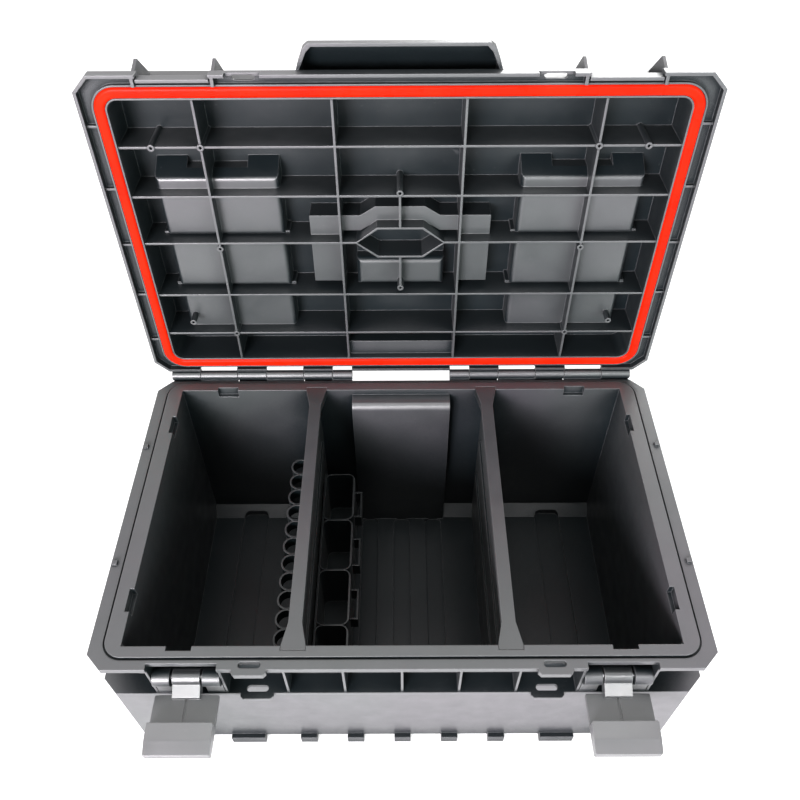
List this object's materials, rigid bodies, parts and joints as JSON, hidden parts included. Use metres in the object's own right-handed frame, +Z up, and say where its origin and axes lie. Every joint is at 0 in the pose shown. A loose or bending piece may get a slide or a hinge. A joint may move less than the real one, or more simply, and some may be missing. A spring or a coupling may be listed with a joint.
{
  "type": "tool case",
  "caption": "Open stackable plastic tool case with a hinged ribbed lid, red lid seal, swing-up front latches, lift-out cross walls and tool racks.",
  "frame": {"origin": "on the ground, under the middle of the base's rim", "axes": "+X across the case to the right as seen from the latches, +Y from the latches to the hinge, +Z up"},
  "size_m": [0.59, 0.5123, 0.648],
  "materials": {
    "case_black": "fine moulded texture",
    "latch_black": "satin moulded",
    "seal_red": "smooth elastic",
    "pin_steel": "drawn rod",
    "insert_black": "fine moulded texture",
    "cover_clear": "smoke tinted",
    "handle_black": "grained"
  },
  "bodies": {
    "base": {"base_shell": "case_black", "divider_left": "insert_black", "divider_right": "insert_black", "screwdriver_rack": "insert_black", "pouch_rack": "insert_black", "hinge_pin_left": "pin_steel", "hinge_pin_right": "pin_steel", "latch_pin_left": "pin_steel", "latch_pin_right": "pin_steel"},
    "lid": {"lid_shell": "case_black", "lid_gasket": "seal_red", "handle_pin_left": "pin_steel", "handle_pin_right": "pin_steel", "cover_pin_left": "pin_steel", "cover_pin_right": "pin_steel"},
    "latch_left": {"latch_left": "latch_black"},
    "latch_right": {"latch_right": "latch_black"},
    "handle": {"carry_handle": "handle_black"},
    "cover_left": {"parts_cover_left": "cover_clear"},
    "cover_right": {"parts_cover_right": "cover_clear"}
  },
  "joints": [
    {"name": "lid_hinge", "type": "hinge", "parent": "base", "child": "lid", "pos_m": [0, 0.187, 0.2605], "axis": [1, 0, 0], "range_deg": [0, 93.9]},
    {"name": "latch_left_hinge", "type": "hinge", "parent": "base", "child": "latch_left", "pos_m": [-0.2033, -0.173, 0.228], "axis": [-1, 0, 0], "range_deg": [0, 90]},
    {"name": "latch_right_hinge", "type": "hinge", "parent": "base", "child": "latch_right", "pos_m": [0.2033, -0.173, 0.228], "axis": [-1, 0, 0], "range_deg": [0, 90]},
    {"name": "handle_fold", "type": "hinge", "parent": "lid", "child": "handle", "pos_m": [0, 0.22853, 0.4022], "axis": [-1, 0, 0], "range_deg": [0, 90]},
    {"name": "cover_left_hinge", "type": "hinge", "parent": "lid", "child": "cover_left", "pos_m": [-0.18475, 0.23955, 0.30503], "axis": [-1, 0, 0], "range_deg": [0, 105]},
    {"name": "cover_right_hinge", "type": "hinge", "parent": "lid", "child": "cover_right", "pos_m": [0.18475, 0.23955, 0.30503], "axis": [-1, 0, 0], "range_deg": [0, 105]}
  ]
}
